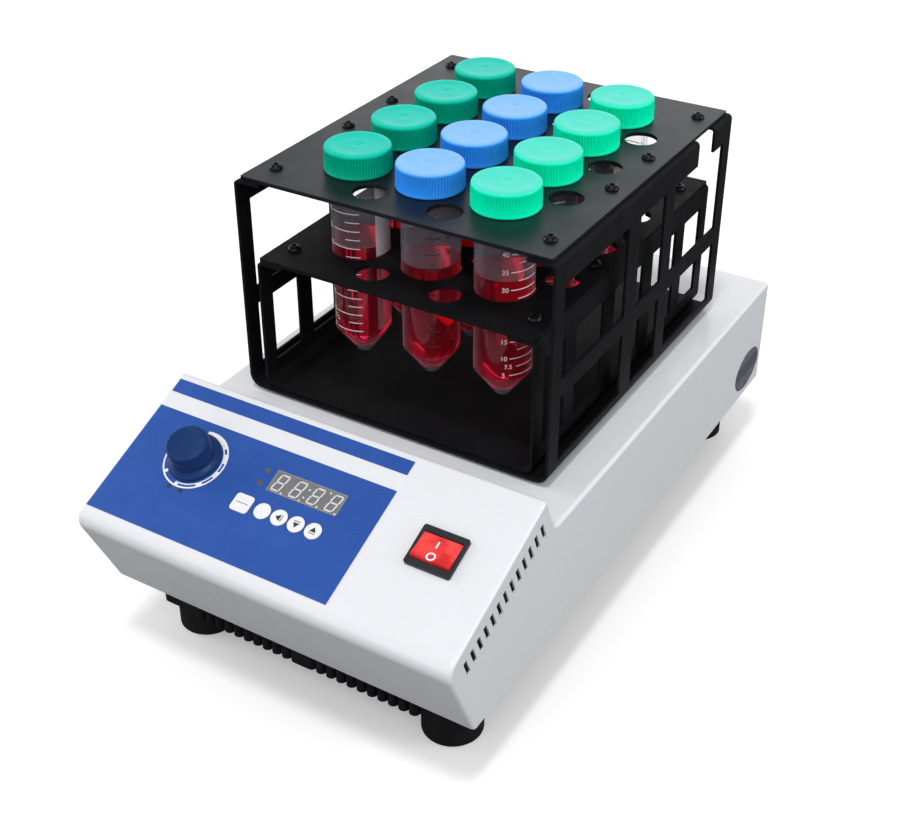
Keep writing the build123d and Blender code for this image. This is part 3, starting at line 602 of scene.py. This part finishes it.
def white_scale(name, x, y, base, numbers_angle, short_from):
    """Long lines with numbers at every 5 mL, and short ones between them."""
    long_line, short_line = 0.48, 0.45
    stop = base + SCALE_SPAN
    shape = Shape()
    for ml in range(5, 50, 5):
        mark(shape, x, y, base, stop, volume_z(ml), long_line)
        number(shape, x, y, numbers_angle, volume_z(ml), str(ml), 3.6)
        if 5 < ml < 45:
            mark(shape, x, y, base + short_from, stop, volume_z(ml + 2.5), short_line)
    mark(shape, x, y, base + short_from, stop, volume_z(7.5), short_line)
    number(shape, x, y, numbers_angle + 9, volume_z(7.5), "7.5", 3.4)
    obj = shape.object(f"scale_{name}", UPRIGHT, MATERIALS["ink_tube"])
    piece(obj, f"tube_{name}")


def black_scale(name, x, y, base):
    """A ladder of short lines with numbers beside it."""
    shape = Shape()
    for step in range(LADDER_LINES):
        z = LADDER_START + step * LADDER_STEP
        if step % 5 == 0:
            mark(shape, x, y, base - 2, base + 26, z, 0.5)
            number(shape, x, y, base + 42, z, str(5 + step), 2.9)
        else:
            mark(shape, x, y, base + 6, base + 16, z, 0.28)
    obj = shape.object(f"scale_{name}", UPRIGHT, MATERIALS["ink_black"])
    piece(obj, f"tube_{name}")


def patch(name, x, y, start, stop, low, high, material):
    """A writing field printed on the wall."""
    shape = Shape()
    shape.band(x, y, PATCH_R, start, stop, 14, low, high)
    obj = shape.object(f"{material}_{name}", UPRIGHT, MATERIALS[material], 60)
    piece(obj, f"tube_{name}")


def make_tube_print():
    """What each tube holds and carries; the three columns hold tubes of three makes."""
    small_field, small_top = 185.5, 224.0
    for name, (x, y) in TUBES.items():
        make_liquid(name, x, y)
        make_mist(name, x, y)
        turn = ROW_TURNS[name[1]]
        if name[0] == "a":
            white_scale(name, x, y, -117.5 + turn, -128 + turn, 31)
            patch(name, x, y, -26 + turn, 25 + turn, small_field, small_top, "patch_white")
            # Below the writing field, a faint white band: painted highlight, not print.
            patch(name, x, y, -26 + turn, 25 + turn, CONE_TOP + 2.5, small_field, "painted_highlight_patch")
        elif name[0] == "b":
            black_scale(name, x, y, -67 + turn)
            patch(name, x, y, 50 + turn, 108 + turn, PATCH_LOW, PATCH_HIGH, "patch_white")
        else:
            white_scale(name, x, y, -49 + turn, -60 + turn, 14)
            patch(name, x, y, 51 + turn, 124 + turn, PATCH_LOW, PATCH_HIGH, "patch_white")


# ---- rack screws -------------------------------------------------------------------------
SCREW_L = 7                 # shank below the head
SOCKET_R = 1.4              # hexagon socket, to its corners
SCREW_ROWS = (-84.1, -21.0, 21.0, 84.1)
TOP_SCREW_X = 76.5
MID_SCREW_X = 69.2


def screw_shape(shape, x, y, seat):
    """A button head with a hexagon socket, on its shank."""
    count = 48
    sector = math.pi / 3

    def socket(index, radius, z):
        """Flattens the round of the socket, and of nothing else, into six sides."""
        if not 0 < radius <= SOCKET_R:
            return radius
        a = 2 * math.pi * index / count
        return radius * math.cos(sector / 2) / math.cos((a % sector) - sector / 2)

    profile = [
        (0.0, -SCREW_L), (1.7, -SCREW_L), (2.0, -SCREW_L + 0.4), (2.0, 0.0), (3.5, 0.0), (3.5, 0.3),
        (3.4, 0.75), (3.05, 1.4), (2.5, 1.9), (1.9, 2.15), (1.55, 2.2), (SOCKET_R, 2.1), (SOCKET_R, 0.9),
        (0.0, 0.9),
    ]
    part = Shape()
    part.lathe(profile, count, socket)
    shape.add([(px + x, py + y, pz + seat) for px, py, pz in part.points], part.faces)


def make_screws():
    """Eight screws in each of the two plates, as one piece."""
    shape = Shape()
    for side in (-1, 1):
        for dy in SCREW_ROWS:
            screw_shape(shape, side * TOP_SCREW_X, RACK_Y + dy, TOP_SEAT)
            screw_shape(shape, side * MID_SCREW_X, INNER_Y + dy, MID_SEAT)
    obj = shape.object("rack_screw_set", UPRIGHT, MATERIALS["screw_black"], 35)
    piece(obj, "rack", ["rack_screws"])


# ---- control panel --------------------------------------------------------------------------
def make_knob():
    """A drum on a wide skirt, with soft edges and a slightly dished top."""
    profile = [
        (0.0, 0.9), (13.75, 0.9), (13.95, 1.1), (14.0, 1.5), (13.95, 2.0), (13.7, 2.4), (12.9, 2.85),
        (12.0, 3.15), (11.2, 3.35), (10.95, 3.55), (10.85, 3.9), (10.75, 8.0), (10.6, 12.7), (10.55, 13.0),
        (10.4, 13.3), (10.1, 13.52), (9.8, 13.6), (9.3, 13.58), (8.8, 13.46), (4.0, 13.36), (0.0, 13.34),
    ]
    shape = Shape()
    shape.lathe(profile, 128)
    shape.lathe([(3.0, 0.95), (3.0, -8.0), (0.0, -8.0)], 40)
    matrix = PANEL @ Matrix.Translation((*KNOB_AT, 0))
    obj = shape.object("speed_knob_turned", matrix, MATERIALS["knob_navy"], 30)
    piece(obj, "knob", ["speed_knob"])


def make_scale_ring():
    """The printed ring round the knob: a thin line that grows into a band with windows."""
    low, high = OVERLAY_TOP - 0.05, OVERLAY_TOP + 0.05
    first, band_from, last = 188.0, 262.0, 461.4
    ticks = [(222.4, 229.2), (band_from, 269.0)]
    bars = [(269.0, 269.5), (305.0, 317.0), (339.0, 352.5), (371.5, 391.3), (403.3, last)]
    shape = Shape()
    shape.ring(*RING_AT, 16.05, 16.9, first, last, low, high)
    for start, stop in ticks:
        shape.ring(*RING_AT, 14.25, 16.2, start, stop, low, high)
    shape.ring(*RING_AT, 14.2, 14.85, band_from, last, low, high)
    for start, stop in bars:
        shape.ring(*RING_AT, 14.8, 16.1, start, stop, low, high)
    obj = shape.object("print_speed_ring", PANEL, MATERIALS["ink_white"])
    piece(obj, "base")
    dots = Shape()
    for x, y in ((-69.8, -60.0), (-62.6, -60.1)):
        dots.disc(x, y, 1.15, low, high + 0.08)
    obj = dots.object("print_ring_dots", PANEL, MATERIALS["ink_black"])
    piece(obj, "base")


DIGIT_W = 5.3
DIGIT_H = 9.7
DIGIT_PITCH = 10.27
DIGIT_SLANT = 0.195         # across per unit of height
DIGIT_AT = (-20.9, -42.65)  # lower left corner of the first digit
DOTS_AT = (                 # points after the digits, and two colons
    (-14.0, -42.7), (-3.5, -42.7), (6.6, -42.6), (16.9, -42.7), (-1.5, -35.8), (-2.3, -40.5), (9.2, -33.4),
)
WINDOW = (-22.4, 18.0, -43.7, -31.5)
WINDOW_EDGE = 0.75


def segment_bars():
    """Outlines of the seven bars of an upright digit, from its lower left corner."""
    w, h, t, gap = DIGIT_W, DIGIT_H, 0.85, 0.16
    mid = h / 2
    bars = []
    for y in (t / 2, mid, h - t / 2):
        bars.append([
            (gap + t * 0.35, y), (gap + t * 0.85, y - t / 2), (w - gap - t * 0.85, y - t / 2),
            (w - gap - t * 0.35, y), (w - gap - t * 0.85, y + t / 2), (gap + t * 0.85, y + t / 2),
        ])
    for x in (t / 2, w - t / 2):
        for y0, y1 in ((t * 0.5, mid), (mid, h - t * 0.5)):
            bars.append([
                (x, y0 + gap), (x + t / 2, y0 + gap + t * 0.5), (x + t / 2, y1 - gap - t * 0.5),
                (x, y1 - gap), (x - t / 2, y1 - gap - t * 0.5), (x - t / 2, y0 + gap + t * 0.5),
            ])
    return bars


def make_display():
    """Four slanted digits with their points, and the pale edge of the smoked window."""
    top = OVERLAY_TOP + 0.01
    shape = Shape()
    left, foot = DIGIT_AT
    for digit in range(4):
        for bar in segment_bars():
            outline = []
            for across, up in bar:
                outline.append((left + digit * DIGIT_PITCH + across + up * DIGIT_SLANT, foot + up))
            shape.prism(outline, top - 0.04, top + 0.04)
    for x, y in DOTS_AT:
        shape.disc(x, y, 0.55, top - 0.04, top + 0.04, 20)
    obj = shape.object("display_digits", PANEL, MATERIALS["segment"])
    piece(obj, "base")
    x0, x1, y0, y1 = WINDOW
    w = WINDOW_EDGE
    sides = [
        (x0, x1, y0, y0 + w), (x0, x1, y1 - w, y1),
        (x0, x0 + w, y0 + w, y1 - w), (x1 - w, x1, y0 + w, y1 - w),
    ]
    edge = Shape()
    for side in sides:
        edge.box(*side, top - 0.05, top + 0.03)
    obj = edge.object("display_edge", PANEL, MATERIALS["window_edge"])
    piece(obj, "base")


def make_key_marks():
    """Arrow icons on the round keys and the dividing line on the start key."""
    low, high = 0.58, 0.64
    arrows = {
        "left": [(-2.05, 0), (0.65, -1.8), (0.65, 1.8)],
        "down": [(0, -1.9), (1.8, 0.75), (-1.8, 0.75)],
        "up": [(0, 2.05), (-1.8, -0.55), (1.8, -0.55)],
    }
    bars = {"left": (1.3, 1.7, -1.8, 1.8), "down": (-1.8, 1.8, 1.4, 1.8), "up": (-1.8, 1.8, -1.6, -1.2)}
    for name, arrow in arrows.items():
        x = KEY_X[name]
        x0, x1, y0, y1 = bars[name]
        shape = Shape()
        shape.prism([(x + px, KEY_ROW + py) for px, py in arrow], low, high)
        shape.box(x + x0, x + x1, KEY_ROW + y0, KEY_ROW + y1, low, high)
        obj = shape.object(f"icon_{name}", PANEL, MATERIALS["ink_black"])
        piece(obj, f"key_{name}")
    shape = Shape()
    shape.box(RUN_KEY_X - 3.5, RUN_KEY_X + 3.5, KEY_ROW - 0.15, KEY_ROW + 0.15, low, high)
    obj = shape.object("icon_run_line", PANEL, MATERIALS["ink_black"])
    piece(obj, "key_run")


def make_rocker_marks():
    """I and O, raised a hair above the rocker's two faces."""
    low, high = -0.03, 0.05
    upper = Shape()
    upper.box(-0.42, 0.42, 0.7, 4.3, low, high)
    lower = Shape()
    lower.ring(0, 0, 1.5, 2.35, 0, 360, low, high, 9.0)
    centre = Matrix.Translation((*SWITCH_AT, SWITCH_RISE))
    up_tilt = Matrix.Rotation(math.atan2(-0.6, 12.0), 4, "X")
    down_tilt = Matrix.Rotation(math.atan2(-2.3, 12.0), 4, "X")
    up_face = centre @ up_tilt
    down_face = centre @ down_tilt @ Matrix.Translation((0.4, -4.35, 0))
    obj = upper.object("rocker_mark_on", PANEL @ up_face, MATERIALS["ink_white"])
    piece(obj, "rocker")
    obj = lower.object("rocker_mark_off", PANEL @ down_face, MATERIALS["ink_white"])
    piece(obj, "rocker")


def make_side_grille():
    """An oval moulded grille let into the right side, with long louvres."""
    place = Matrix.Translation(Vector(GRILLE_AT) * MM)
    matrix = place @ Matrix.Rotation(math.pi / 2, 4, "Y") @ UPRIGHT
    reach, rise, pitch, half_bar = 18.6, 12.6, 2.8, 0.85
    shape = Shape()
    shape.prism(round_outline(0, 0, rise, reach, 96), 0.0, 0.16)
    for i in range(-4, 5):
        edge = abs(i) * pitch + half_bar
        half = reach * math.sqrt(max(0.0, 1 - (edge / rise) ** 2)) - 0.7
        if half > 2:
            shape.box(i * pitch - half_bar, i * pitch + half_bar, -half, half, 0.15, 0.38)
    obj = shape.object("side_grille", matrix, MATERIALS["grille_grey"])
    piece(obj, "base")
    # Black strips between the louvres: painted shade in the grille's gaps.
    slots = Shape()
    for low, high in ((-1.95, -0.85), (0.85, 1.95), (3.65, 4.75)):
        half = reach * math.sqrt(1 - (high / rise) ** 2) - 0.6
        slots.box(-high, -low, -half, half, 0.15, 0.24)
    obj = slots.object("side_grille_shade_gaps", matrix, MATERIALS["screen_black"])
    piece(obj, "base")


def make_vent_screens():
    """A black sheet behind the side slots, with the grain of cloth: painted shade for the dark inside of the
    housing.
    """
    for side, name in ((-1, "left"), (1, "right")):
        shape = Shape()
        back, front = side * 104.6, side * 105.1
        shape.box(back, front, -88, -3.5, -20.5, -7.0)
        obj = shape.object(f"vent_shade_sheet_{name}", PANEL, MATERIALS["screen_black"])
        piece(obj, "base")


def make_inlet_pins():
    """Plated blades over the inlet's three pins."""
    back, front = 170.5, 183.4
    shape = Shape()
    for x, z in ((-67, 70), (-60, 74), (-53, 70)):
        shape.box(x - 1.06, x + 1.06, back, front, z - 2.06, z + 2.06)
    obj = shape.object("inlet_pins", UPRIGHT, MATERIALS["pin_nickel"])
    piece(obj, "base")


# ---- stage, in metres ---------------------------------------------------------------------
PHOTO_W = 900.0             # the photograph's frame, in pixels
PHOTO_H = 834.0
FOCAL_PX = 1432.27
CENTRE_X_PX = 439.972       # where the lens axis meets the photograph
CENTRE_Y_PX = 368.184
SENSOR_MM = 36.0
CAMERA_AT = (0.33496, -0.56528, 0.51781)
CAMERA_RIGHT = (0.853237, 0.521502, -0.004673)
CAMERA_UP = (-0.271760, 0.452242, 0.849484)
CAMERA_BACK = (0.445121, -0.723542, 0.527593)
AMBIENT = 0.42              # what the surroundings give to the object's own light
FLOOR_REACH = 9.0
SUN_FROM = (0.06, -0.28, 1.0)
SOFTBOX_AIM = (0, 0, 0.12)
SOFTBOXES = (               # name, place, side and watts
    ("softbox_right", (1.5, 0.3, 0.55), 0.9, 10.5),
    ("softbox_front", (0.65, -1.1, 1.3), 0.8, 5.5),
    ("softbox_low", (-0.2, -1.5, 0.45), 1.0, 4.0),
    ("softbox_left", (-1.5, -0.3, 0.6), 0.9, 9.5),
    ("softbox_back", (-0.5, 1.5, 0.8), 1.2, 3.0),
)


def make_camera():
    data = bpy.data.cameras.new("camera")
    data.sensor_fit = "HORIZONTAL"
    data.sensor_width = SENSOR_MM
    data.lens = FOCAL_PX * SENSOR_MM / PHOTO_W
    data.shift_x = (PHOTO_W / 2 - CENTRE_X_PX) / PHOTO_W
    data.shift_y = (CENTRE_Y_PX - PHOTO_H / 2) / PHOTO_W
    obj = bpy.data.objects.new("camera", data)
    bpy.context.scene.collection.objects.link(obj)
    axes = Matrix((CAMERA_RIGHT, CAMERA_UP, CAMERA_BACK)).transposed().to_4x4()
    obj.matrix_world = Matrix.Translation(CAMERA_AT) @ axes
    bpy.context.scene.camera = obj


def make_world():
    """White to the eye and behind clear parts, a soft ambient light, and a sheen that fades overhead."""
    world = bpy.data.worlds.new("studio")
    world.use_nodes = True
    bpy.context.scene.world = world
    tree = world.node_tree
    tree.nodes.clear()
    path = tree.nodes.new("ShaderNodeLightPath")
    seen = tree.nodes.new("ShaderNodeMath")
    seen.operation = "MAXIMUM"
    tree.links.new(path.outputs["Is Camera Ray"], seen.inputs[0])
    tree.links.new(path.outputs["Is Transmission Ray"], seen.inputs[1])
    plain = spread(tree, seen.outputs[0], AMBIENT, 1.0, 0.0, 1.0)
    direction = tree.nodes.new("ShaderNodeTexCoord").outputs["Generated"]
    sheen = spread(tree, height(tree, direction), 1.0, 0.5, 0.38, 0.52)
    choice = tree.nodes.new("ShaderNodeMix")
    tree.links.new(path.outputs["Is Glossy Ray"], choice.inputs["Factor"])
    tree.links.new(plain, choice.inputs["A"])
    tree.links.new(sheen, choice.inputs["B"])
    background = tree.nodes.new("ShaderNodeBackground")
    background.inputs["Color"].default_value = (1, 1, 1, 1)
    tree.links.new(choice.outputs["Result"], background.inputs["Strength"])
    output = tree.nodes.new("ShaderNodeOutputWorld")
    tree.links.new(background.outputs["Background"], output.inputs["Surface"])


def make_floor():
    """A sheet that keeps the soft shadow. The camera alone sees it white; its bounce stays dim."""
    mat = bpy.data.materials.new("floor_sheet")
    mat.use_nodes = True
    tree = mat.node_tree
    bsdf = tree.nodes["Principled BSDF"]
    bsdf.inputs["Roughness"].default_value = 0.9
    bsdf.inputs["Specular IOR Level"].default_value = 0.0
    path = tree.nodes.new("ShaderNodeLightPath")
    seen = path.outputs["Is Camera Ray"]
    tone = two_tone(tree, seen, (0.20, 0.20, 0.21), (0.8, 0.8, 0.8), 0.0, 1.0)
    tree.links.new(tone, bsdf.inputs["Base Color"])
    bsdf.inputs["Emission Color"].default_value = (1, 1, 1, 1)
    tree.links.new(spread(tree, seen, 0.0, 0.26, 0.0, 1.0), bsdf.inputs["Emission Strength"])
    low, high = -FLOOR_REACH, FLOOR_REACH
    shape = Shape()
    shape.add([(low, low, 0), (high, low, 0), (high, high, 0), (low, high, 0)], [[0, 1, 2, 3]])
    obj = shape.object("floor", Matrix.Identity(4), mat)


def make_lights():
    """A broad sun overhead, and square softboxes all round that face the object."""
    sun = bpy.data.lights.new("overhead", "SUN")
    sun.energy = 1.05
    sun.angle = math.radians(8)
    obj = bpy.data.objects.new("overhead", sun)
    bpy.context.scene.collection.objects.link(obj)
    obj.rotation_mode = "QUATERNION"
    obj.rotation_quaternion = Vector(SUN_FROM).to_track_quat("Z", "Y")
    for name, place, size, power in SOFTBOXES:
        light = bpy.data.lights.new(name, "AREA")
        light.shape = "SQUARE"
        light.size = size
        light.energy = power
        obj = bpy.data.objects.new(name, light)
        bpy.context.scene.collection.objects.link(obj)
        obj.rotation_mode = "QUATERNION"
        obj.location = place
        aim = Vector(place) - Vector(SOFTBOX_AIM)
        obj.rotation_quaternion = aim.to_track_quat("Z", "Y")


bpy.context.scene.view_settings.view_transform = "Standard"
make_camera()
make_world()
make_floor()
make_lights()
dress_nodes()
make_caps()
make_tube_print()
make_screws()
make_knob()
make_scale_ring()
make_display()
make_key_marks()
make_rocker_marks()
make_side_grille()
make_vent_screens()
make_inlet_pins()
